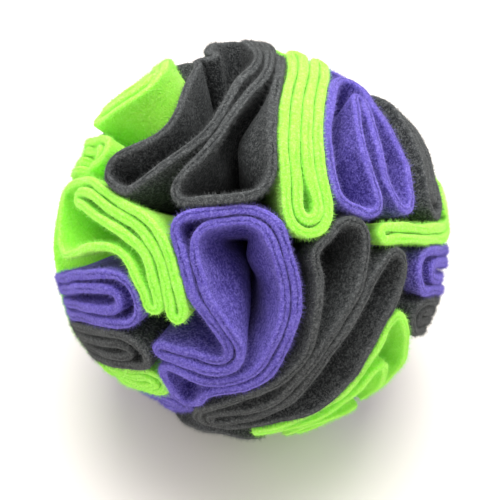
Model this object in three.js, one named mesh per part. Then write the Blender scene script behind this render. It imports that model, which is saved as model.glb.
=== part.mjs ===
// Dog snuffle ball: thick fleece circles, each folded in four, threaded at their centres and
// drawn together into a ball. Every circle stands on its folded centre, so its rim is one
// closed wavy line on the ball and its cloth is a thin cone wall below that line.
// Units are millimetres, +Z up, the ball rests on a small flat spot at z = 0.

import * as THREE from 'three';

const ballRadius = 70;
const flatDepth = 2;
const fleece = 3.1;
const fleeceAtTie = 0.92;
const tieRadius = 24;
const layerPitch = 3.8;
const viewAngle = 50;

// How the rims are evened out so that no two layers touch.
const traceStep = 1.8;
const settleRounds = 260;
const pushShare = 0.45;
const anchorShare = 0.015;
const smoothShare = 0.03;
const slideShare = 0.3;
const ownGap = 6.6;
const tightBend = 0.9;

// How few stations a rim needs.
const chordError = 0.14;
const longestRun = 9;
const tallestMitre = 1.2;

const lime = { color: 0x86e63a, roughness: 0.95, metalness: 0 };
const charcoal = { color: 0x3d4042, roughness: 0.95, metalness: 0 };
const purple = { color: 0x5a4cae, roughness: 0.95, metalness: 0 };

// The six sides of the ball as a viewer sees them who looks down at it from the front.
const viewTilt = THREE.MathUtils.degToRad(viewAngle);
const toViewer = new THREE.Vector3(0, -Math.cos(viewTilt), Math.sin(viewTilt));
const toRight = new THREE.Vector3(1, 0, 0);
const toTop = new THREE.Vector3(0, Math.sin(viewTilt), Math.cos(viewTilt));
const sides = {
  front: { out: toViewer, right: toRight, up: toTop },
  back: { out: toViewer.clone().negate(), right: toRight.clone().negate(), up: toTop },
  left: { out: toRight.clone().negate(), right: toViewer, up: toTop },
  right: { out: toRight, right: toViewer.clone().negate(), up: toTop },
  top: { out: toTop, right: toRight, up: toViewer.clone().negate() },
  bottom: { out: toTop.clone().negate(), right: toRight, up: toViewer },
};

// Bends of the rims that show, a row for each fold. A rim runs straight from bend to bend.
// right, up: centre of the bend on that side of the ball, along its skin from the side's middle.
// round: radius of the bend, plus where the rim turns left and minus where it turns right.
// bow: how far the run after the bend bulges to its left.
// reach: how far the rim stands from the ball's centre where it is not the ball's radius.
const folded = [
  {
    name: 'charcoal_circle_1', cloth: charcoal, side: 'front', reach: 71, bends: [
      { right: -23, up: 88, round: -6 },
      { right: -14, up: 76, round: 4 },
      { right: -42, up: 50, round: -19 },
      { right: -42.5, up: 23, round: 8 },
      { right: -24, up: 45, round: 15 },
      { right: 7.2, up: 50.6, round: -12 },
      { right: -5, up: 69, round: 12 },
      { right: 0, up: 100, round: -3 },
      { right: 1, up: 72, round: -10 },
      { right: -28, up: 47, round: -23 },
      { right: -21, up: 14.3, round: 4 },
      { right: 0, up: 21, round: 7.5 },
      { right: -10.5, up: 70, round: 25 },
      { right: -3, up: 95, round: 14 },
    ],
  },
  {
    name: 'lime_circle_1', cloth: lime, side: 'front', reach: 70.5, bends: [
      { right: 17.5, up: 80, round: -2.6, bow: -1 },
      { right: 18.6, up: 8, round: 3.8 },
      { right: 52, up: 33, round: -33 },
      { right: 29.5, up: 76, round: -2.6 },
      { right: 52, up: 32, round: 29.4 },
      { right: 18.8, up: 8, round: -7.4, bow: 0.8 },
    ],
  },
  {
    name: 'purple_circle_1', cloth: purple, side: 'front', bends: [
      { right: 57, up: 32, round: 34 },
      { right: 33, up: 18, round: 7 },
      { right: 41, up: 11, round: 4 },
      { right: 61, up: 33, round: -22 },
      { right: 43.3, up: 57.5, round: -2.3 },
      { right: 66, up: 32, round: 20 },
      { right: 55.2, up: 11, round: 3.3 },
      { right: 38, up: 28, round: 20.5 },
      { right: 40.5, up: 61, round: 6.5 },
    ],
  },
  {
    name: 'charcoal_circle_2', cloth: charcoal, side: 'front', bends: [
      { right: -9, up: -27, round: 30 },
      { right: 18, up: -12.5, round: 4.7 },
      { right: 21.6, up: -4.6, round: -2.4 },
      { right: 34, up: 3, round: -5.6 },
      { right: 5, up: -3, round: -34 },
      { right: -4, up: -44.5, round: -20 },
      { right: -15.5, up: -73.5, round: 3.2 },
      { right: -4, up: -44.5, round: 24.5 },
      { right: 49, up: -14.5, round: -7 },
      { right: 52.3, up: -4.6, round: -3.3 },
      { right: 36, up: -12, round: -20 },
      { right: 2, up: -34, round: -41 },
      { right: -14, up: -73.5, round: -9 },
    ],
  },
  {
    name: 'purple_circle_2', cloth: purple, side: 'front', bends: [
      { right: -20, up: 3.5, round: -4.5 },
      { right: -1, up: -2.5, round: -12 },
      { right: -16, up: -20, round: -31 },
      { right: -9, up: -34, round: -20 },
      { right: -13.5, up: -59, round: 4.3 },
      { right: -24, up: -59.8, round: -5.6 },
      { right: -28.6, up: -47.5, round: -4.4 },
      { right: -12, up: -40, round: 11 },
      { right: -9, up: -34, round: 16 },
      { right: -16, up: -20, round: 27 },
      { right: -2, up: -2.5, round: 8.5 },
      { right: -10.5, up: -1.5, round: 7.3 },
      { right: 2, up: -9, round: 19.5 },
      { right: -9.5, up: -37.8, round: -8 },
      { right: -33, up: -38, round: -2.6 },
      { right: -9.5, up: -37.8, round: 4.3 },
      { right: -12, up: -11, round: -9 },
    ],
  },
  {
    name: 'lime_circle_2', cloth: lime, side: 'front', bends: [
      { right: -47.5, up: -20, round: 16.5 },
      { right: -53, up: -26, round: 24 },
      { right: -75.5, up: 1.5, round: -8 },
      { right: -74, up: 14.5, round: -9.5 },
      { right: -64, up: 9.5, round: -14 },
      { right: -48, up: -13, round: -25 },
      { right: -23.2, up: -26, round: -2.6 },
      { right: -48, up: -13, round: 21 },
      { right: -64, up: 9.5, round: 10 },
      { right: -72, up: 11.5, round: 7.5 },
      { right: -61.5, up: 4, round: -7 },
      { right: -47.7, up: -16.7, round: -19 },
      { right: -31, up: -27.5, round: -2.7 },
    ],
  },
  {
    name: 'lime_circle_3', cloth: lime, side: 'bottom', bends: [
      { right: 60.5, up: 57.5, round: -3.3 },
      { right: 20, up: 46, round: -44.5 },
      { right: 46, up: -2, round: -3.2 },
      { right: 50.2, up: 39.5, round: 2.6, bow: 5 },
      { right: 2.5, up: 25.5, round: -2.7, bow: -5 },
    ],
  },
  {
    name: 'lime_circle_5', cloth: lime, side: 'top', bends: [
      { right: -42.5, up: -27, round: 12 },
      { right: -36, up: 2, round: 5.8 },
      { right: -42.5, up: -27, round: -0.8 },
      { right: -57.6, up: -18.8, round: 2 },
      { right: -42.5, up: -27, round: 4.4 },
      { right: -36, up: 0, round: -2 },
      { right: -42.5, up: -27, round: -8.2 },
      { right: -62.2, up: -24.9, round: 2 },
    ],
  },
  {
    name: 'lime_circle_6', cloth: lime, side: 'right', bends: [
      { right: -22, up: 20, round: 20 },
      { right: 9.4, up: 21.6, round: 5.7 },
      { right: -21, up: 10, round: 2 },
      { right: 6.1, up: 19.7, round: -2 },
      { right: -22, up: 20, round: -16.2 },
      { right: -66, up: 1.9, round: 2 },
    ],
  },
];

// Plain quarter folds, a row for each circle: it opens in nested turns at its first end
// and closes in two turns side by side at its second end.
// wide, mouth: half widths of the outer and the inner turn.
// close: how far each turn at the second end lies from the middle.
const plainFolds = [
  {
    name: 'purple_circle_3', cloth: purple, side: 'left', right: 70.5, up: -22.5, toRight: 8, toUp: -20,
    wide: 10, mouth: 4.2, close: 4,
  },
  {
    name: 'charcoal_circle_3', cloth: charcoal, side: 'left', right: 62, up: -44.5, toRight: 10, toUp: -35,
    wide: 8, mouth: 3, close: 3.8,
  },
  {
    name: 'lime_circle_4', cloth: lime, side: 'left', right: 55, up: -61.5, toRight: 10, toUp: -50.5,
    wide: 6, mouth: 2.2, close: 3.8, reach: 68,
  },
  {
    name: 'purple_circle_4', cloth: purple, side: 'right', right: -44.5, up: -11.5, toRight: 13, toUp: -10,
    wide: 8.5, mouth: 3, close: 4,
  },
  {
    name: 'lime_circle_7', cloth: lime, side: 'left', right: 43, up: 34, toRight: -6, toUp: 30,
    wide: 5.8, mouth: 2.2, close: 4, reach: 67,
  },
  {
    name: 'charcoal_circle_4', cloth: charcoal, side: 'right', right: -33, up: 7, toRight: -10, toUp: 58,
    wide: 5.8, mouth: 2, close: 4.5,
  },
  {
    name: 'charcoal_circle_5', cloth: charcoal, side: 'right', right: -41, up: -27, toRight: 13, toUp: -28,
    wide: 5.8, mouth: 2, close: 4,
  },
  {
    name: 'purple_circle_5', cloth: purple, side: 'bottom', right: -25, up: 36, toRight: -46, toUp: -12,
    wide: 5.8, mouth: 2, close: 4, reach: 66,
  },
  {
    name: 'purple_circle_6', cloth: purple, side: 'top', right: 26, up: -9, toRight: 28, toUp: 42,
    wide: 11, mouth: 6.5, close: 5, bow: -4, reach: 67,
  },
  {
    name: 'charcoal_circle_6', cloth: charcoal, side: 'top', right: -24, up: 12, toRight: -46, toUp: 46,
    wide: 13, mouth: 8, close: 6.5, bow: -4,
  },
  {
    name: 'lime_circle_8', cloth: lime, side: 'top', right: 4, up: 6, toRight: 2, toUp: 60,
    wide: 12, mouth: 7, close: 6.5, bow: 3,
  },
  {
    name: 'purple_circle_7', cloth: purple, side: 'left', right: -28, up: -64, toRight: -42, toUp: -18,
    wide: 12, mouth: 7, close: 5,
  },
  {
    name: 'charcoal_circle_7', cloth: charcoal, side: 'left', right: -32, up: 52, toRight: -32, toUp: -8,
    wide: 13, mouth: 8, close: 5.5, bow: 4,
  },
  {
    name: 'lime_circle_9', cloth: lime, side: 'left', right: -8, up: 20, toRight: -8, toUp: -54,
    wide: 10, mouth: 5.5, close: 4.5, bow: 4,
  },
  {
    name: 'charcoal_circle_8', cloth: charcoal, side: 'right', right: 28, up: -50, toRight: 31, toUp: 14,
    wide: 9, mouth: 5, close: 4.5, bow: 5,
  },
  {
    name: 'purple_circle_8', cloth: purple, side: 'right', right: 11, up: 30, toRight: 40, toUp: 54,
    wide: 10, mouth: 6, close: 5,
  },
  {
    name: 'lime_circle_10', cloth: lime, side: 'right', right: 56, up: 42, toRight: 60, toUp: -26,
    wide: 12, mouth: 7, close: 6, bow: 5,
  },
  {
    name: 'purple_circle_9', cloth: purple, side: 'bottom', right: 50, up: -10, toRight: 28, toUp: -50,
    wide: 12, mouth: 7, close: 5,
  },
  {
    name: 'charcoal_circle_9', cloth: charcoal, side: 'bottom', right: -4, up: 16, toRight: -22, toUp: -42,
    wide: 12, mouth: 7, close: 6, bow: -4,
  },
  {
    name: 'lime_circle_11', cloth: lime, side: 'bottom', right: 32, up: 16, toRight: 8, toUp: -30,
    wide: 13, mouth: 8, close: 6, bow: 5,
  },
  {
    name: 'purple_circle_10', cloth: purple, side: 'back', right: -30, up: -15, toRight: 33, toUp: -14,
    wide: 14, mouth: 9, close: 8, bow: 6,
  },
  {
    name: 'purple_circle_11', cloth: purple, side: 'back', right: 48, up: 42, toRight: 47, toUp: -2,
    wide: 10, mouth: 6, close: 4.5,
  },
  {
    name: 'charcoal_circle_10', cloth: charcoal, side: 'back', right: 28, up: 24, toRight: -28, toUp: 24,
    wide: 14, mouth: 9, close: 7,
  },
  {
    name: 'charcoal_circle_11', cloth: charcoal, side: 'back', right: -30, up: -48, toRight: 38, toUp: -45,
    wide: 10, mouth: 5.5, close: 5,
  },
];

function skinPoint(sideName, right, up) {
  const side = sides[sideName];
  const run = Math.hypot(right, up);
  const turn = run / ballRadius;
  const share = run > 0 ? Math.sin(turn) / run : 0;
  return side.out.clone().multiplyScalar(Math.cos(turn))
    .addScaledVector(side.right, right * share)
    .addScaledVector(side.up, up * share);
}

// Four bends of a circle folded in four whose layers lie along one line.
function quarterFold({ right, up, toRight, toUp, wide, mouth, close, bow = 0 }) {
  const length = Math.hypot(toRight - right, toUp - up);
  const alongRight = (toRight - right) / length;
  const alongUp = (toUp - up) / length;
  const at = (along, across) => ({
    right: right + alongRight * along - alongUp * across,
    up: up + alongUp * along + alongRight * across,
  });
  return [
    { ...at(wide, 0), round: wide, bow },
    { ...at(length, -close), round: close / 2, bow: -bow },
    { ...at(wide + (wide - mouth) * 0.3, 0), round: -mouth, bow },
    { ...at(length, close), round: close / 2, bow: -bow },
  ];
}

// The rim on the flat map: a belt that runs round its bends like a belt round pulleys.
function beltPoints(bends) {
  const full = Math.PI * 2;
  const headings = bends.map((bend, i) => {
    const next = bends[(i + 1) % bends.length];
    const right = next.right - bend.right;
    const up = next.up - bend.up;
    const lean = Math.asin((next.round - bend.round) / Math.hypot(right, up));
    return Math.atan2(up, right) - lean;
  });
  const onBend = (bend, heading) => new THREE.Vector2(
    bend.right + bend.round * Math.sin(heading),
    bend.up - bend.round * Math.cos(heading),
  );
  const points = [];
  bends.forEach((bend, i) => {
    const from = headings[(i + bends.length - 1) % bends.length];
    const to = headings[i];
    const sense = Math.sign(bend.round);
    const turn = THREE.MathUtils.euclideanModulo((to - from) * sense, full) * sense;
    const arcSteps = Math.max(1, Math.ceil(Math.abs(turn * bend.round)));
    for (let s = 0; s < arcSteps; s += 1) {
      points.push(onBend(bend, from + turn * s / arcSteps));
    }
    const next = bends[(i + 1) % bends.length];
    const start = onBend(bend, to);
    const end = onBend(next, to);
    const runSteps = Math.max(1, Math.ceil(start.distanceTo(end)));
    const left = new THREE.Vector2(-Math.sin(to), Math.cos(to));
    for (let s = 0; s < runSteps; s += 1) {
      const share = s / runSteps;
      const bulge = (bend.bow ?? 0) * Math.sin(Math.PI * share) ** 2;
      points.push(start.clone().lerp(end, share).addScaledVector(left, bulge));
    }
  });
  return points;
}

// Points an even step apart along a closed line on the ball.
function evenSteps(line, step) {
  const lengths = [0];
  for (let i = 0; i < line.length; i += 1) {
    lengths.push(lengths[i] + line[i].distanceTo(line[(i + 1) % line.length]));
  }
  const total = lengths[line.length];
  const count = Math.round(total / step);
  const even = [];
  let i = 0;
  for (let k = 0; k < count; k += 1) {
    const target = total * k / count;
    while (lengths[i + 1] <= target) i += 1;
    const share = (target - lengths[i]) / (lengths[i + 1] - lengths[i]);
    even.push(line[i].clone().lerp(line[(i + 1) % line.length], share).setLength(ballRadius));
  }
  return even;
}

// Moves the rims apart until all layers are a pitch apart, keeping them close to their traces.
function settle(rims) {
  const all = rims.flatMap((rim, r) => rim.map((point, i) => ({ point, r, i, home: point.clone() })));
  const cell = layerPitch;
  const key = (x, y, z) => (x + 64) * 16384 + (y + 64) * 128 + z + 64;
  const skip = Math.ceil(ownGap / traceStep);
  const gap = new THREE.Vector3();
  const middle = new THREE.Vector3();
  const along = new THREE.Vector3();
  for (let round = 0; round < settleRounds; round += 1) {
    const cells = new Map();
    all.forEach((entry) => {
      const { x, y, z } = entry.point;
      entry.cell = [Math.floor(x / cell), Math.floor(y / cell), Math.floor(z / cell)];
      const name = key(...entry.cell);
      if (!cells.has(name)) cells.set(name, []);
      cells.get(name).push(entry);
    });
    all.forEach((a) => {
      const [cx, cy, cz] = a.cell;
      for (let x = cx - 1; x <= cx + 1; x += 1) {
        for (let y = cy - 1; y <= cy + 1; y += 1) {
          for (let z = cz - 1; z <= cz + 1; z += 1) {
            for (const b of cells.get(key(x, y, z)) ?? []) {
              if (b.r < a.r || (b.r === a.r && b.i <= a.i)) continue;
              if (b.r === a.r) {
                const apart = b.i - a.i;
                if (Math.min(apart, rims[a.r].length - apart) < skip) continue;
              }
              gap.subVectors(b.point, a.point);
              const distance = gap.length();
              if (distance >= layerPitch || distance === 0) continue;
              gap.multiplyScalar(pushShare * (layerPitch - distance) / distance);
              a.point.sub(gap);
              b.point.add(gap);
            }
          }
        }
      }
    });
    const loose = round < settleRounds * 0.7 ? 1 : 0;
    all.forEach((entry) => {
      const rim = rims[entry.r];
      const before = rim[(entry.i + rim.length - 1) % rim.length];
      const after = rim[(entry.i + 1) % rim.length];
      middle.addVectors(before, after).multiplyScalar(0.5).sub(entry.point);
      along.subVectors(after, before).normalize();
      const bend = middle.length() * 2 / traceStep;
      const share = bend > tightBend ? 0.5 : smoothShare;
      entry.point.addScaledVector(along, middle.dot(along) * slideShare);
      entry.point.addScaledVector(middle, share);
      entry.point.lerp(entry.home, anchorShare * loose);
      entry.point.setLength(ballRadius);
    });
  }
}

// The fewest stations that keep the rim's curve.
function keyStations(rim) {
  const count = rim.length;
  const kept = [0];
  const line = new THREE.Line3();
  const foot = new THREE.Vector3();
  let from = 0;
  while (from < count) {
    let to = from + 1;
    while (to < count) {
      const far = rim[(to + 1) % count];
      line.set(rim[from % count], far);
      if (line.distance() > longestRun) break;
      let worst = 0;
      for (let i = from + 1; i <= to; i += 1) {
        line.closestPointToPoint(rim[i], true, foot);
        worst = Math.max(worst, foot.distanceTo(rim[i]));
      }
      if (worst > chordError) break;
      to += 1;
    }
    if (to < count) kept.push(to);
    from = to;
  }
  return kept.map((i) => rim[i]);
}

// One closed cone wall below a rim: four corners at each station, two at the rim and two
// near the tie, each pair half a thickness to either side.
function circleGeometry(rim, rimReach, centreHeight) {
  const count = rim.length;
  const corners = [];
  rim.forEach((point, i) => {
    const out = point.clone().normalize();
    const before = rim[(i + count - 1) % count];
    const after = rim[(i + 1) % count];
    const arriving = point.clone().sub(before).projectOnPlane(out).normalize();
    const leaving = after.clone().sub(point).projectOnPlane(out).normalize();
    const along = arriving.clone().add(leaving).normalize();
    const side = new THREE.Vector3().crossVectors(out, along);
    const mitre = Math.min(tallestMitre, 1 / along.dot(leaving));
    const corner = (radius, thickness, sense) => {
      const half = Math.atan(thickness * mitre / 2 / radius) * sense;
      const ray = out.clone().multiplyScalar(Math.cos(half)).addScaledVector(side, Math.sin(half));
      const reach = ray.z < 0 ? Math.min(radius, centreHeight / -ray.z) : radius;
      return ray.multiplyScalar(reach);
    };
    corners.push(
      corner(rimReach, fleece, 1),
      corner(rimReach, fleece, -1),
      corner(tieRadius, fleeceAtTie, -1),
      corner(tieRadius, fleeceAtTie, 1),
    );
  });
  const index = [];
  for (let i = 0; i < count; i += 1) {
    for (let c = 0; c < 4; c += 1) {
      const here = i * 4;
      const next = ((i + 1) % count) * 4;
      const d = (c + 1) % 4;
      index.push(here + c, here + d, next + d);
      index.push(here + c, next + d, next + c);
    }
  }
  const geometry = new THREE.BufferGeometry();
  const positions = corners.flatMap((corner) => corner.toArray());
  geometry.setAttribute('position', new THREE.Float32BufferAttribute(positions, 3));
  geometry.setIndex(index);
  geometry.computeVertexNormals();
  return geometry;
}

const circles = [
  ...folded,
  ...plainFolds.map((row) => ({ ...row, bends: quarterFold(row) })),
];
const rims = circles.map((circle) => {
  const line = beltPoints(circle.bends)
    .map((point) => skinPoint(circle.side, point.x, point.y).multiplyScalar(ballRadius));
  return evenSteps(line, traceStep);
});
settle(rims);

const centreHeight = ballRadius - flatDepth;
const ball = new THREE.Group();
circles.forEach((circle, i) => {
  const material = new THREE.MeshStandardMaterial(circle.cloth);
  const geometry = circleGeometry(keyStations(rims[i]), circle.reach ?? ballRadius, centreHeight);
  const mesh = new THREE.Mesh(geometry, material);
  mesh.name = circle.name;
  ball.add(mesh);
});
const middle = new THREE.Box3().setFromObject(ball).getCenter(new THREE.Vector3());
ball.position.set(-middle.x, -middle.y, centreHeight);

export default ball;
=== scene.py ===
import math

import bmesh
import bpy
import numpy as np
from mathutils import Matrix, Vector, noise
from mathutils.bvhtree import BVHTree


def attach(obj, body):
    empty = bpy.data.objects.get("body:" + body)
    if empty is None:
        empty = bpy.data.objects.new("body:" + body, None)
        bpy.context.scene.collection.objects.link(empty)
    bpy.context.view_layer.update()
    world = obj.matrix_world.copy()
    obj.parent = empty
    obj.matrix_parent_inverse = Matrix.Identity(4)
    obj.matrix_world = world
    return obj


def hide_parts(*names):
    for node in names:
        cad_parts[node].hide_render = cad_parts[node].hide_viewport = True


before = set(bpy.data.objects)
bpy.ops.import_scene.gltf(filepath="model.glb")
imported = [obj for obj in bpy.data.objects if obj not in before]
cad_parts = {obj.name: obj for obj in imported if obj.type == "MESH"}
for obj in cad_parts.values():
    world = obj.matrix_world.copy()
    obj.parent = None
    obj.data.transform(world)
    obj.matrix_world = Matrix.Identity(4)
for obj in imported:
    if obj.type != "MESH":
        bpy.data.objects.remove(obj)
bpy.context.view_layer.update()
print("frame loaded:", len(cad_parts), "fleece circles")

noise.seed_set(5)  # the rims wander in the same way in every run

# The ball as a whole, in metres.
ball = {
    "centre": np.array((0.0000435, 0.0000267, 0.068)),
    "radius": 0.07,
    "skin": 0.068,         # just under the rims, where the room beside them is measured
    "viewAngle": 50,       # the viewer looks down at it by this many degrees
    "floorGap": 0.00025,   # the lowest rim lies this far above the floor
    "tieZone": 0.045,      # rims are further from the centre than this, tie ends nearer
    "sameSpot": 0.0000003, # points of a solid nearer than this are one
    "sameRow": 0.0000005,  # and points of the last row of a cloth and its first
}

# One fleece circle: how its rim and its wall are built up, in metres. What ends in Size is a noise's scale,
# and more is finer.
fleece = {
    "step": 0.0014,        # between two stations along the rim
    "curveStep": 0.1,      # share of a span between two stations of the solid, when its rim is curved
    "rimThick": 0.0031, "wallThick": 0.0028,  # at the cut edge, and a few millimetres below it
    "wallFull": 0.005,     # how far below the rim the wall has its thickness
    "rimGrows": (0.925, 0.98),            # between these shares of the rim's reach the wall grows to the rim
    "thickest": 0.0038, "thinnest": 0.0028,  # where a neighbour presses against the rim
    "thinner": 0.2, "thinSize": 7,        # the rim is thinner by up to this share in places
    "thinSlope": 1.6, "thinBase": 0.3,    # how much of the rim that is
    "tieReach": 0.024, "tieThick": 0.0009,
    "coreReach": 0.0025, "coreThick": 0.0001,
    "wallDepths": (0.0008, 0.002, 0.004, 0.007, 0.0105, 0.0145, 0.019, 0.024, 0.0295, 0.036, 0.044, 0.054,
                   0.0665),
    # Rounding of the cut edge: share of half the thickness, depth.
    "rimRound": ((0.97, 0.00065), (0.80, 0.00024), (0.45, 0.00004), (0.0, 0.0)),
    "swing": 0.0011, "swingSize": 2.2,    # how far and how often the rims wander together
    "ripple": 0.00035, "rippleSize": 7.5,
    "wobble": 0.0006, "wobbleSize": 7,    # how unevenly a rim stands out from the ball
    "heave": 0.0011, "heaveRun": 0.019,   # the same along the rim, with the run of one heave
    "closeFrom": 0.001, "closeAt": 0.030, # between these depths the walls of a pocket come together
    "closeShare": 0.93,
    "deeper": {"charcoal_circle_1": 0.062, "charcoal_circle_2": 0.044},  # pockets that stay open to here
    "wrinkle": 0.00045, "wrinkleSize": 120,
    "wrinkleDepths": (0, 0.006, 0.02, 0.03), "wrinkleShares": (0.2, 1, 1, 0),
    "ragged": 0.00016, "raggedSize": 420, # the cut rim's own unevenness
    "raggedDepths": (0, 0.002, 0.006), "raggedShares": (1, 1, 0),
    "nicks": 1.6,          # how much deeper than that the cut rim is nicked
    "wobbleApart": 9.1, "heaveApart": 5.3, "thinApart": 3.7, "nicksApart": 5,  # noises that lie apart
    "rimEven": (1, 2), "roomEven": (2, 8),  # rounds of taking the least of neighbours, and of smoothing
}

tilt = math.radians(ball["viewAngle"])
towardViewer = np.array((0, -math.cos(tilt), math.sin(tilt)))
upward = np.array((0, math.sin(tilt), math.cos(tilt)))


def unit(rays):
    return rays / np.linalg.norm(rays, axis=-1, keepdims=True)


# How much a listed spot counts at each station of a rim: 1 at the spot, less with the distance.
def nearness(rays, spot):
    right, up = spot["right"] / 1000, spot["up"] / 1000
    run = math.hypot(right, up)
    turn = run / ball["radius"]
    aside = (np.array((1, 0, 0)) * right + upward * up) * (math.sin(turn) / max(run, 1e-9))
    ray = towardViewer * math.cos(turn) + aside
    away = np.arccos(np.clip(rays @ ray, -1, 1)) * ball["radius"] * 1000
    return np.exp(-(away / spot["wide"]) ** 2)


# One value of the noise at each ray, from a part of the noise that lies apart.
def noiseAt(rays, size, apart):
    return np.array([noise.noise(Vector(r * size) + Vector(apart)) for r in rays])


# How far out each ray may reach before it meets the floor.
def floorReach(rays):
    return (ball["centre"][2] - ball["floorGap"]) / np.maximum(-rays[:, 2], 1e-6)


# The two borders of a circle's rim in its solid, each as a ring of points.
def rimBorders(node):
    bm = bmesh.new()
    bm.from_mesh(node.data)
    bmesh.ops.remove_doubles(bm, verts=bm.verts, dist=ball["sameSpot"])
    centre = Vector(ball["centre"])
    onRim = {v for v in bm.verts if (v.co - centre).length > ball["tieZone"]}
    strip = {f for f in bm.faces if all(v in onRim for v in f.verts)}
    neighbours = {v: [] for v in onRim}
    for e in bm.edges:
        a, b = e.verts
        if a in onRim and b in onRim and sum(f in strip for f in e.link_faces) == 1:
            neighbours[a].append(b)
            neighbours[b].append(a)
    borders = []
    while neighbours:
        last, here = None, min(neighbours, key=lambda v: tuple(v.co))
        border = []
        while here in neighbours:
            border.append(np.array(here.co))
            following = sorted((v for v in neighbours.pop(here) if v is not last), key=lambda v: tuple(v.co))
            last, here = here, following[0]
        borders.append(np.array(border))
    bm.free()
    return borders


# Middle line of a circle's rim as rays from the ball's centre, and how far the rim stands from it.
def rimOf(node):
    one, other = rimBorders(node)
    fits = [(np.linalg.norm(one - np.roll(turned, k, axis=0), axis=1).sum(), k, s)
            for s, turned in ((1, other), (-1, other[::-1])) for k in range(len(other))]
    _, k, s = min(fits)
    other = np.roll(other[::s], k, axis=0)
    return unit((one + other) / 2 - ball["centre"]), np.linalg.norm(one - ball["centre"], axis=1).max()


# The rim's middle line again, curved between its stations and evenly spaced.
def smoothRim(rays):
    after = np.roll(rays, -1, axis=0)
    gap = np.linalg.norm(after - rays, axis=1)[:, None]
    before = np.roll(gap, 1, axis=0)
    slope = (after - rays) / gap
    slope = (slope * before + np.roll(slope, 1, axis=0) * gap) / (gap + before)
    nextSlope = np.roll(slope, -1, axis=0)
    curved = []
    for t in np.arange(0, 1, fleece["curveStep"]):
        curved.append((2 * t**3 - 3 * t**2 + 1) * rays + (t**3 - 2 * t**2 + t) * gap * slope
                      + (3 * t**2 - 2 * t**3) * after + (t**3 - t**2) * gap * nextSlope)
    line = unit(np.stack(curved, axis=1).reshape(-1, 3))
    closed = np.vstack([line, line[:1]])
    along = np.concatenate([[0], np.cumsum(np.linalg.norm(np.diff(closed, axis=0), axis=1))])
    count = round(along[-1] * ball["radius"] / fleece["step"])
    at = np.arange(count) * along[-1] / count
    return unit(np.stack([np.interp(at, along, closed[:, k]) for k in range(3)], axis=1))


# The same slow and quick swings for all rims, so that neighbours move together.
def swung(rays):
    moved = []
    for ray in rays:
        slow = noise.noise_vector(Vector(ray) * fleece["swingSize"]) * (fleece["swing"] / ball["radius"])
        quick = noise.noise_vector(Vector(ray) * fleece["rippleSize"]) * (fleece["ripple"] / ball["radius"])
        moved.append(Vector(ray) + slow + quick)
    return unit(np.array(moved))


# Heaves of one rim along its own length, closed after one round.
def heaved(number, count):
    circuit = count * fleece["step"] / fleece["heaveRun"] / (2 * math.pi)
    apart = number * fleece["heaveApart"]
    return np.array([noise.noise(Vector((circuit * math.cos(a), circuit * math.sin(a), apart)))
                     for a in np.arange(count) * 2 * math.pi / count])


# Dips, listed one by one, of one circle's rim near a spot on the front of the ball's skin. Its place right
# and up from the middle, its width and its depth are in millimetres.
dips = (
    {"circle": "charcoal_circle_1", "right": 16, "up": 88, "wide": 11, "deep": 4.0},
    {"circle": "charcoal_circle_4", "right": 64, "up": 75, "wide": 7, "deep": 3.0},
    {"circle": "lime_circle_5", "right": -60, "up": 80, "wide": 8, "deep": 4.0},
    {"circle": "lime_circle_7", "right": -74, "up": 37, "wide": 4.5, "deep": 6.0},
)


# One circle: its rays, the ways along and across the cloth, and how far its rim stands out.
def readCircle(number, name, node):
    rays, reach = rimOf(node)
    rays = swung(smoothRim(rays))
    along = unit(np.roll(rays, -1, axis=0) - np.roll(rays, 1, axis=0))
    wobble = noiseAt(rays, fleece["wobbleSize"], (number * fleece["wobbleApart"], 0, 0))
    stands = reach + fleece["wobble"] * wobble + fleece["heave"] * heaved(number, len(rays))
    for dip in dips:
        if dip["circle"] == name:
            stands -= dip["deep"] / 1000 * nearness(rays, dip)
    return {
        "name": name, "number": number, "cloth": name.split("_")[0], "rays": rays, "along": along,
        "across": unit(np.cross(rays, along)), "stands": np.minimum(stands, floorReach(rays)), "reach": reach,
    }


nodes = sorted(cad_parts.items())
circles = [readCircle(number, name, node) for number, (name, node) in enumerate(nodes)]
print("rims read:", sum(len(c["rays"]) for c in circles), "stations")

depths = np.array((0.0,) + fleece["wallDepths"])


# A ring of values made even: first the least of neighbours, then smoothed, each so many times.
def evened(values, least, smooth):
    for _ in range(least):
        values = np.minimum(values, np.minimum(np.roll(values, 1), np.roll(values, -1)))
    for _ in range(smooth):
        values = (np.roll(values, 1) + 2 * values + np.roll(values, -1)) / 4
    return values


# The room beside a rim, looked for with rays in a fan on each side of it.
beside = {
    "ribbon": (-0.003, 0.012),  # the layers that the rays can hit, from and to these depths under the skin
    "fan": (-62, -40, -20, 0, 20, 40, 62),
    "start": 0.0002, "far": 0.03,
    "most": 0.0125,        # no room is taken as wider than this
    "tight": 0.0034,       # with less room than this the neighbour sets the thickness,
    "tightRun": 0.001,     # and with this much less it does so fully
    "clear": 0.00004,      # left between two layers
}


# All layers near the skin as one tree, so that a ray finds the next one.
def layerTree():
    points, quads = [], []
    for c in circles:
        first, n = len(points), len(c["rays"])
        for depth in beside["ribbon"]:
            points.extend((ball["centre"] + c["rays"] * (ball["skin"] - depth)).tolist())
        quads += [(first + i, first + (i + 1) % n, first + n + (i + 1) % n, first + n + i) for i in range(n)]
    return BVHTree.FromPolygons(points, quads)


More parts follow.
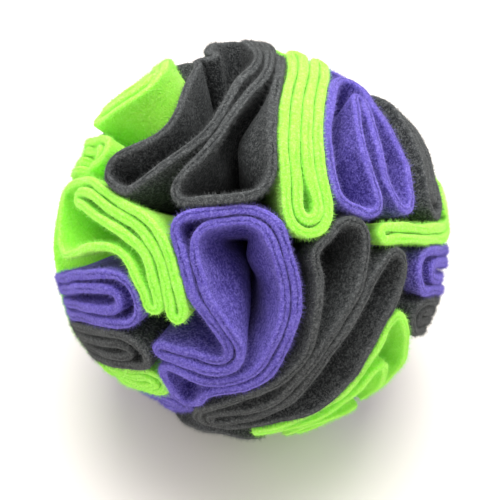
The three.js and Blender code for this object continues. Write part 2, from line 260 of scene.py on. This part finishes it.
# The free room on one side of a rim, as the radius of the largest round thing that fits beside it.
def roomBeside(circle, sign, tree):
    fan = [(math.cos(math.radians(a)), math.sin(math.radians(a))) for a in beside["fan"]]
    room = np.zeros(len(circle["rays"]))
    for i, (ray, across, along) in enumerate(zip(circle["rays"], circle["across"], circle["along"])):
        place = Vector(ball["centre"] + ray * ball["skin"])
        aside, ahead = Vector(across) * sign, Vector(along)
        least = beside["most"]
        for cos, sin in fan:
            way = aside * cos + ahead * sin
            hit = tree.ray_cast(place + way * beside["start"], way, beside["far"])[3]
            if hit is not None:
                least = min(least, (hit + beside["start"]) / (2 * cos))
        room[i] = least
    return room


# Half the thickness of the rim on one of its sides, 0 or 1.
def halfRim(circle, side, room):
    pressed = np.clip((beside["tight"] - room) / beside["tightRun"], 0, 1)
    wide = np.clip(room - beside["clear"], fleece["thinnest"] / 2, fleece["thickest"] / 2)
    half = fleece["rimThick"] / 2 + pressed * (wide - fleece["rimThick"] / 2)
    thin = noiseAt(circle["rays"], fleece["thinSize"], (circle["number"] * fleece["thinApart"], side, 0))
    half *= 1 - fleece["thinner"] * np.clip(thin * fleece["thinSlope"] + fleece["thinBase"], 0, 1)
    return evened(half, *fleece["rimEven"])


# Gives the rims their thickness from the room beside them, and leans the walls into the wider room, until
# a pocket's walls nearly meet.
def settle():
    tree = layerTree()
    for c in circles:
        rooms = [roomBeside(c, sign, tree) for sign in (1, -1)]
        c["half"] = [halfRim(c, side, room) for side, room in enumerate(rooms)]
        free = [evened(np.maximum(0, room - fleece["rimThick"] / 2), *fleece["roomEven"]) for room in rooms]
        closeAt = fleece["deeper"].get(c["name"], fleece["closeAt"])
        share = np.clip((depths - fleece["closeFrom"]) / (closeAt - fleece["closeFrom"]), 0, 1)
        share = fleece["closeShare"] * share * share * (3 - 2 * share)
        c["turns"] = ((free[0] - free[1]) / ball["skin"])[:, None] * share


# Soft bulges, listed one by one: the walls below the rims are pushed to one side near a spot, in the same
# measures.
pushes = (
    {"right": 1, "up": -20, "wide": 12, "pushRight": 2.2, "pushUp": 0},
    {"right": -2, "up": 2, "wide": 10, "pushRight": -1.8, "pushUp": 4.0},
    {"right": -44, "up": 27, "wide": 10, "pushRight": -4.5, "pushUp": -3.5},
    {"right": -18, "up": 20, "wide": 9, "pushRight": -2.0, "pushUp": -2.0},
    {"right": 1, "up": 38, "wide": 17, "pushRight": -11.0, "pushUp": 0},
)
pushDepths, pushShares = (0, 0.004, 0.014, 0.036, 0.058), (0, 0.2, 1, 1, 0)  # depth in metres


# Leans the walls near each listed bulge, all alike, so that they stay clear of each other.
def lean(circle):
    for push in pushes:
        aside = circle["across"][:, 0] * push["pushRight"] + circle["across"] @ upward * push["pushUp"]
        size = aside / 1000 / ball["skin"] * nearness(circle["rays"], push)
        circle["turns"] += size[:, None] * np.interp(depths, pushDepths, pushShares)


# Half the thickness of the cloth on one side of its middle, by how far it is from the ball's centre.
def halfThick(reach, rimReach, rimHalf):
    rimHighlightShare = np.interp(reach / rimReach, fleece["rimGrows"], (0, 1))
    wallHalf = np.interp(reach, (fleece["coreReach"], fleece["tieReach"], rimReach - fleece["wallFull"]),
                         (fleece["coreThick"] / 2, fleece["tieThick"] / 2, fleece["wallThick"] / 2))
    return rimHighlightShare * (rimHalf - fleece["wallThick"] / 2) + wallHalf


# Points on a wall at a depth below its rim, moved across the cloth by an angle and an offset in metres.
def wallPoints(circle, turn, depth, offset):
    reach = np.maximum(circle["stands"] - depth, fleece["coreReach"])
    turn = (turn + offset / reach)[:, None]
    ray = circle["rays"] * np.cos(turn) + circle["across"] * np.sin(turn)
    return ball["centre"] + ray * np.minimum(reach, floorReach(ray))[:, None]


# Small wrinkles of the wall and the ragged cut rim, across the cloth and outwards.
def uneven(circle, places, depth):
    wrinkle = fleece["wrinkle"] * np.interp(depth, fleece["wrinkleDepths"], fleece["wrinkleShares"])
    ragged = fleece["ragged"] * np.interp(depth, fleece["raggedDepths"], fleece["raggedShares"])
    apart = Vector((fleece["nicksApart"],) * 3)
    moved = np.zeros_like(places)
    for i, (place, across, out) in enumerate(zip(places, circle["across"], circle["rays"])):
        large, small = Vector(place) * fleece["wrinkleSize"], Vector(place) * fleece["raggedSize"]
        moved[i] = across * (wrinkle * noise.noise(large) + ragged * noise.noise(small))
        if ragged:
            moved[i] += out * min(0.0, ragged * noise.noise(small + apart) * fleece["nicks"])
    return moved


# Short fibres that stand off the cut rims and the nap beside them.
nap = {
    "length": 0.0019, "root": 0.00005,
    "shortest": 0.35,      # share of the length
    "lean": 0.75,          # how far a fibre may lean from upright, as a slope
    "perSquareMetre": 2500000,
    "band": 0.011,         # fibres stand down to this depth below the rim
    "seed": 7, "leanSeed": 3, "lengthSeed": 5,
}


# The cloth's own map in metres: along the rim, and across it from the middle of the cut rim.
def mapCloth(bm, station, level, count, across):
    uv = bm.loops.layers.uv.new("clothMap")
    for f in bm.faces:
        numbers = [loop.vert[station] for loop in f.loops]
        wraps = max(numbers) - min(numbers) > count // 2
        for loop in f.loops:
            i = loop.vert[station]
            u = (i + count if wraps and i < count // 2 else i) * fleece["step"]
            loop[uv].uv = (u, across[loop.vert[level]])
        f.smooth = True


# A closed body of one circle: its section goes up one face of the wall, over the rim and down the other face.
def clothMesh(circle):
    up = [(1.0, d) for d in reversed(fleece["wallDepths"])]
    over = list(fleece["rimRound"]) + [(-a, d) for a, d in reversed(fleece["rimRound"][:-1])]
    down = [(-1.0, d) for d in fleece["wallDepths"]]
    section = up + over + down
    n = len(circle["rays"])
    bm = bmesh.new()
    station = bm.verts.layers.int.new("station")
    level = bm.verts.layers.int.new("level")
    rimNap = bm.verts.layers.float.new("rimNap")
    ring = bmesh.ops.create_circle(bm, segments=n, radius=ball["radius"])["verts"]
    for i, v in enumerate(sorted(ring, key=lambda v: math.atan2(v.co.y, v.co.x))):
        v[station] = i
    edges = list(bm.edges)
    spread, acrossMap, lastPlaces = 0.0, [], None
    for row, (share, depth) in enumerate(section + section[:1]):
        if row:
            made = bmesh.ops.extrude_edge_only(bm, edges=edges)["geom"]
            ring = [g for g in made if isinstance(g, bmesh.types.BMVert)]
            fresh = set(ring)
            edges = [g for g in made if isinstance(g, bmesh.types.BMEdge) and fresh.issuperset(g.verts)]
        turn = np.array([np.interp(depth, depths, t) for t in circle["turns"]])
        reach = np.maximum(circle["stands"] - depth, fleece["coreReach"])
        half = halfThick(reach, circle["reach"], circle["half"][0 if share > 0 else 1])
        places = wallPoints(circle, turn, depth, share * half)
        if depth < fleece["wrinkleDepths"][-1]:
            places = places + uneven(circle, places, depth)
        if lastPlaces is not None:
            spread += float(np.linalg.norm(places - lastPlaces, axis=1).mean())
        acrossMap.append(spread)
        lastPlaces = places
        near = max(0.0, 1 - depth / nap["band"]) ** 2
        for v in ring:
            v.co = places[v[station]]
            v[level] = row
            v[rimNap] = near * min(1, max(0, v.co.z / nap["length"] - 1))  # pressed flat at the floor
    middle = acrossMap[len(up) + len(fleece["rimRound"]) - 1]
    mapCloth(bm, station, level, n, [a - middle for a in acrossMap])
    # The same order in every run, because the fibres are scattered by it.
    bm.verts.sort(key=lambda v: v[level] * n + v[station])
    bm.verts.index_update()
    bm.faces.sort(key=lambda f: min(v.index for v in f.verts) * len(bm.verts) + max(v.index for v in f.verts))
    ends = [v for v in bm.verts if v[level] in (0, len(section))]
    bmesh.ops.remove_doubles(bm, verts=ends, dist=ball["sameRow"])  # the last row lies on the first
    bmesh.ops.recalc_face_normals(bm, faces=bm.faces)
    mesh = bpy.data.meshes.new(circle["name"] + "_cloth")
    bm.to_mesh(mesh)
    bm.free()
    return mesh


# The cloth's surface: the scales of its noises, and between which values each mask comes in.
surface = {
    "patches": 130, "felt": 620, "feltTwist": 1.2, "grain": 1400, "grainTwist": 0.8, "blots": 70,
    "roughness": 0.6,
    "matShares": (0.10, 0.35, 0.55),      # of patches, felt and grain in the matting
    "matRamp": (0.43, 0.57),
    "fleckShares": (0.7, 0.3), "fleckRamp": (0.52, 0.62),  # of grain and felt in the light flecks
    "pocketShadeRamp": (0.008, 0.034), "pocketShadeShare": 0.3,          # metres from the cut rim; painted shade, darker deep in the pockets
    "rimHighlightRamp": (0.0030, 0.0012), "rimHighlightShare": 0.6,          # metres from the middle of the cut rim; painted highlight, lighter there
    "rimHighlightFlecks": (0.45, 0.62),
    "stitches": (1000, 2400, 1), "stitchRamp": (0.34, 0.56),
    "waver": 0.0014,       # how far the knit line strays from the middle of the rim
    "lineRamp": (0.00052, 0.00014), "blotRamp": (0.36, 0.56), "lineShare": 0.8,
    "heightShares": (0.6, 0.4), "lineDepth": 0.25,         # felt and grain stand out, the line lies lower
    "relief": 0.0007,      # metres between the lowest and the highest
}


# A function that adds a node to a tree, with values or sockets for its inputs and options for itself.
def adder(tree):
    def add(kind, values=None, **options):
        node = tree.nodes.new(kind)
        for key, value in options.items():
            setattr(node, key, value)
        for key, value in (values or {}).items():
            if isinstance(value, bpy.types.NodeSocket):
                tree.links.new(value, node.inputs[key])
            else:
                node.inputs[key].default_value = value
        return node
    return add


# Node group: mottled nap with painted shade deep in the pockets, a lighter cut rim that is a painted
# highlight and the knit line along it, with the height of all three.
def fleeceNap():
    group = bpy.data.node_groups.new("fleeceNap", "ShaderNodeTree")
    sockets = group.interface
    for name in ("Nap", "Pressed", "Cut", "Line"):
        made = sockets.new_socket(name, in_out="INPUT", socket_type="NodeSocketColor")
        made.default_value = (0.5, 0.5, 0.5, 1)
    made = sockets.new_socket("Flecks", in_out="INPUT", socket_type="NodeSocketFloat")
    made.default_value = 0.7
    sockets.new_socket("Color", in_out="OUTPUT", socket_type="NodeSocketColor")
    sockets.new_socket("Height", in_out="OUTPUT", socket_type="NodeSocketFloat")
    add = adder(group)
    given = add("NodeGroupInput").outputs
    place = add("ShaderNodeTexCoord").outputs["Object"]
    cloth = add("ShaderNodeUVMap", uv_map="clothMap").outputs[0]
    across = add("ShaderNodeSeparateXYZ", {0: cloth}).outputs["Y"]

    def speckle(scale, detail, twist=0.0, source=place):
        values = {"Vector": source, "Scale": scale, "Detail": detail, "Roughness": surface["roughness"],
                  "Distortion": twist}
        return add("ShaderNodeTexNoise", values).outputs["Fac"]

    def ramp(value, ends):
        values = {0: value, 1: ends[0], 2: ends[1], 3: 0.0, 4: 1.0}
        return add("ShaderNodeMapRange", values, interpolation_type="SMOOTHSTEP").outputs[0]

    def blend(share, one, other):
        return add("ShaderNodeMix", {0: share, 6: one, 7: other}, data_type="RGBA").outputs[2]

    def calc(kind, one, other):
        return add("ShaderNodeMath", {0: one, 1: other}, operation=kind).outputs[0]

    def plain(value):
        return add("ShaderNodeMath", {0: value}, operation="ABSOLUTE").outputs[0]

    def mixed(one, other, shares):
        return calc("ADD", calc("MULTIPLY", one, shares[0]), calc("MULTIPLY", other, shares[1]))

    patches = speckle(surface["patches"], 2)                  # soft patches
    felt = speckle(surface["felt"], 2, surface["feltTwist"])     # matted clumps of nap
    grain = speckle(surface["grain"], 3, surface["grainTwist"])  # single fibres
    matted = calc("ADD", calc("MULTIPLY", patches, surface["matShares"][0]),
                  mixed(felt, grain, surface["matShares"][1:]))
    flecks = ramp(mixed(grain, felt, surface["fleckShares"]), surface["fleckRamp"])
    flecks = calc("MULTIPLY", flecks, given["Flecks"])
    away = plain(across)
    # Painted shade: the cloth is mixed towards black deep in the pockets, where little light reaches.
    deep = calc("MULTIPLY", ramp(away, surface["pocketShadeRamp"]), surface["pocketShadeShare"])
    # Painted highlight: the cut rim is mixed towards the lighter Cut colour, speckled by the grain, where the
    # rims face the light.
    rim = calc("MULTIPLY", ramp(away, surface["rimHighlightRamp"]), surface["rimHighlightShare"])
    rimHighlightTone = blend(ramp(grain, surface["rimHighlightFlecks"]), given["Nap"], given["Cut"])
    tone = blend(ramp(matted, surface["matRamp"]), given["Pressed"], given["Nap"])
    tone = blend(flecks, tone, given["Cut"])
    tone = blend(deep, tone, (0, 0, 0, 1))
    tone = blend(rim, tone, rimHighlightTone)

    # The knit line between the two faces of the nap, broken up into stitches and blots.
    values = {0: cloth, 1: surface["stitches"]}
    stitchPlace = add("ShaderNodeVectorMath", values, operation="MULTIPLY").outputs[0]
    stitch = ramp(speckle(1.0, 1, 0.0, stitchPlace), surface["stitchRamp"])
    waver = calc("MULTIPLY", calc("SUBTRACT", patches, 0.5), surface["waver"])
    line = ramp(plain(calc("ADD", across, waver)), surface["lineRamp"])
    blots = ramp(speckle(surface["blots"], 1), surface["blotRamp"])
    line = calc("MULTIPLY", calc("MULTIPLY", line, stitch), blots)
    tone = blend(calc("MULTIPLY", line, surface["lineShare"]), tone, given["Line"])
    height = mixed(felt, grain, surface["heightShares"])
    height = calc("SUBTRACT", height, calc("MULTIPLY", line, surface["lineDepth"]))
    add("NodeGroupOutput", {"Color": tone, "Height": height})
    return group


# Settings of the cloth's shader and of the fibres' shader.
clothShader = {
    "Roughness": 0.95, "Specular IOR Level": 0.12, "Subsurface Scale": 0.004,
    "Sheen Weight": 0.28, "Sheen Roughness": 0.45,
}
sheenTint = {"times": 1.6, "plus": 0.03}  # from the cut rim's colour
fibreShader = {"Roughness": 0.9, "Specular IOR Level": 0.15, "Sheen Weight": 0.2}
fibreFlecks = 900


# A new material, its Principled BSDF with the given settings, and a function that adds nodes to it.
def shaded(name, settings):
    material = bpy.data.materials.new(name)
    material.use_nodes = True
    shader = material.node_tree.nodes["Principled BSDF"]
    for key, value in settings.items():
        shader.inputs[key].default_value = value
    return material, shader, adder(material.node_tree)


def fleeceMaterial(name, colours, group):
    material, shader, add = shaded(name + "Fleece", clothShader)
    shader.inputs["Subsurface Weight"].default_value = colours["glow"]
    shader.inputs["Subsurface Radius"].default_value = colours["glowReach"]
    tint = [min(1, c * sheenTint["times"] + sheenTint["plus"]) for c in colours["cut"]]
    shader.inputs["Sheen Tint"].default_value = (*tint, 1)
    effect = add("ShaderNodeGroup", node_tree=group)
    for key in ("nap", "pressed", "cut", "line"):
        effect.inputs[key.capitalize()].default_value = (*colours[key], 1)
    effect.inputs["Flecks"].default_value = colours["flecks"]
    values = {"Strength": 1.0, "Distance": surface["relief"], "Height": effect.outputs["Height"]}
    relief = add("ShaderNodeBump", values)
    links = material.node_tree.links
    links.new(effect.outputs["Color"], shader.inputs["Base Color"])
    links.new(relief.outputs["Normal"], shader.inputs["Normal"])
    return material


def fibreMaterial(name, colours):
    material, shader, add = shaded(name + "Fibre", fibreShader)
    place = add("ShaderNodeTexCoord").outputs["Object"]
    speckle = add("ShaderNodeTexNoise", {"Vector": place, "Scale": fibreFlecks}).outputs["Fac"]
    values = {0: speckle, 6: (*colours["nap"], 1), 7: (*colours["cut"], 1)}
    tone = add("ShaderNodeMix", values, data_type="RGBA").outputs[2]
    material.node_tree.links.new(tone, shader.inputs["Base Color"])
    return material


# Geometry nodes: short tapered fibres scattered on the cloth near its cut rim.
def napTree(material):
    tree = bpy.data.node_groups.new("napFibres", "GeometryNodeTree")
    for way in ("INPUT", "OUTPUT"):
        tree.interface.new_socket("Geometry", in_out=way, socket_type="NodeSocketGeometry")
    add = adder(tree)
    cloth = add("NodeGroupInput").outputs[0]
    band = add("GeometryNodeInputNamedAttribute", {"Name": "rimNap"}, data_type="FLOAT").outputs[0]
    density = add("ShaderNodeMath", {0: band, 1: nap["perSquareMetre"]}, operation="MULTIPLY").outputs[0]
    values = {"Mesh": cloth, "Density": density, "Seed": nap["seed"]}
    scatter = add("GeometryNodeDistributePointsOnFaces", values)
    values = {0: (-1, -1, -1), 1: (1, 1, 1), "Seed": nap["leanSeed"]}
    anyWay = add("FunctionNodeRandomValue", values, data_type="FLOAT_VECTOR").outputs[0]
    slant = add("ShaderNodeVectorMath", {0: anyWay, 1: (nap["lean"],) * 3}, operation="MULTIPLY").outputs[0]
    way = add("ShaderNodeVectorMath", {0: scatter.outputs["Normal"], 1: slant}, operation="ADD").outputs[0]
    turn = add("FunctionNodeAlignRotationToVector", {"Vector": way}, axis="Z").outputs[0]
    values = {2: nap["shortest"], 3: 1.0, "Seed": nap["lengthSeed"]}
    tall = add("FunctionNodeRandomValue", values, data_type="FLOAT").outputs[1]
    size = add("ShaderNodeCombineXYZ", {0: 1.0, 1: 1.0, 2: tall}).outputs[0]
    values = {"Vertices": 3, "Radius Top": 0.0, "Radius Bottom": nap["root"], "Depth": nap["length"]}
    fibre = add("GeometryNodeMeshCone", values, fill_type="NONE").outputs[0]
    values = {"Points": scatter.outputs["Points"], "Instance": fibre, "Rotation": turn, "Scale": size}
    placed = add("GeometryNodeInstanceOnPoints", values).outputs[0]
    real = add("GeometryNodeRealizeInstances", {0: placed}).outputs[0]
    dressed = add("GeometryNodeSetMaterial", {"Geometry": real, "Material": material}).outputs[0]
    add("NodeGroupOutput", {0: dressed})
    return tree


# An object at the origin, in the scene.
def placed(name, data):
    made = bpy.data.objects.new(name, data)
    bpy.context.scene.collection.objects.link(made)
    return made


# The three cloths. Colours are linear: the nap, the same cloth where the nap is pressed, the cut rim's
# lighter colour (painted as a highlight on the rims, and also used for the light flecks) and the knit line
# along it.
cloths = {
    "lime": {
        "nap": (0.35, 0.87, 0.078), "pressed": (0.30, 0.82, 0.060),
        "cut": (0.53, 0.94, 0.23), "line": (0.22, 0.72, 0.035),
        "flecks": 0.2, "glow": 0.5, "glowReach": (0.45, 1.0, 0.2),
    },
    "charcoal": {
        "nap": (0.067, 0.071, 0.072), "pressed": (0.020, 0.022, 0.023),
        "cut": (0.138, 0.144, 0.144), "line": (0.008, 0.009, 0.010),
        "flecks": 0.65, "glow": 0.0, "glowReach": (1, 1, 1),
    },
    "purple": {
        "nap": (0.15, 0.114, 0.48), "pressed": (0.054, 0.040, 0.225),
        "cut": (0.24, 0.20, 0.60), "line": (0.030, 0.021, 0.145),
        "flecks": 0.65, "glow": 0.35, "glowReach": (0.5, 0.4, 1.0),
    },
}


settle()
print("walls settled")

napGroup = fleeceNap()
for cloth, colours in cloths.items():
    material = fleeceMaterial(cloth, colours, napGroup)
    fibres = fibreMaterial(cloth, colours)
    scatter = napTree(fibres)
    tuft = bmesh.new()
    for circle in circles:
        if circle["cloth"] != cloth:
            continue
        lean(circle)
        mesh = clothMesh(circle)
        mesh.materials.append(material)
        piece = placed(circle["name"] + "_cloth", mesh)
        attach(piece, "root")
        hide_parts(circle["name"])
        piece.modifiers.new("nap", "NODES").node_group = scatter
        bpy.context.view_layer.update()
        shown = piece.evaluated_get(bpy.context.evaluated_depsgraph_get())
        hair = bpy.data.meshes.new_from_object(shown)
        tuft.from_mesh(hair)
        bpy.data.meshes.remove(hair)
        piece.modifiers.clear()
    hairs = bpy.data.meshes.new(cloth + "_nap")
    tuft.to_mesh(hairs)
    tuft.free()
    hairs.materials.clear()
    hairs.materials.append(fibres)
    piece = placed(cloth + "_nap", hairs)
    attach(piece, "root")
    print(cloth, "cloth and nap made:", len(hairs.polygons), "fibre faces")

# Floor, light and camera, in metres.
studio = {
    "floorSize": 6.0, "floorParts": 8, "floorTone": (0.88, 0.83, 0.80), "floorRoughness": 0.9,
    "skyTone": (1.0, 0.985, 0.965), "sky": 0.95,
    "lamp": 24.0, "lampSize": 1.1, "lampPlace": (0.06, 0.42, 1.25),
    "lens": 90.5, "away": 0.45,
    "aimDrop": 0.0036,     # the camera looks this far below the ball's centre
}
centre = Vector(ball["centre"])

bm = bmesh.new()
parts = studio["floorParts"]
bmesh.ops.create_grid(bm, x_segments=parts, y_segments=parts, size=studio["floorSize"] / 2)
floorMesh = bpy.data.meshes.new("floor")
bm.to_mesh(floorMesh)
bm.free()
floor = placed("floor", floorMesh)
floorLook = {"Base Color": (*studio["floorTone"], 1), "Roughness": studio["floorRoughness"]}
floorMesh.materials.append(shaded("floorPaint", floorLook)[0])

world = bpy.data.worlds.new("studio")
bpy.context.scene.world = world
world.use_nodes = True
sky = world.node_tree.nodes["Background"]
sky.inputs["Color"].default_value = (*studio["skyTone"], 1)
sky.inputs["Strength"].default_value = studio["sky"]

lampData = bpy.data.lights.new("softbox", "AREA")
lampData.energy = studio["lamp"]
lampData.size = studio["lampSize"]
lamp = placed("softbox", lampData)
lamp.location = studio["lampPlace"]
lamp.rotation_mode = "QUATERNION"
lamp.rotation_quaternion = (centre - Vector(studio["lampPlace"])).to_track_quat("-Z", "Y")

cameraData = bpy.data.cameras.new("camera")
cameraData.lens = studio["lens"]
camera = placed("camera", cameraData)
camera.location = centre + Vector(towardViewer) * studio["away"]
camera.rotation_mode = "QUATERNION"
aim = centre - Vector(upward) * studio["aimDrop"]
camera.rotation_quaternion = (aim - camera.location).to_track_quat("-Z", "Y")
bpy.context.scene.camera = camera
bpy.context.scene.view_settings.view_transform = "Standard"

print("scene complete")
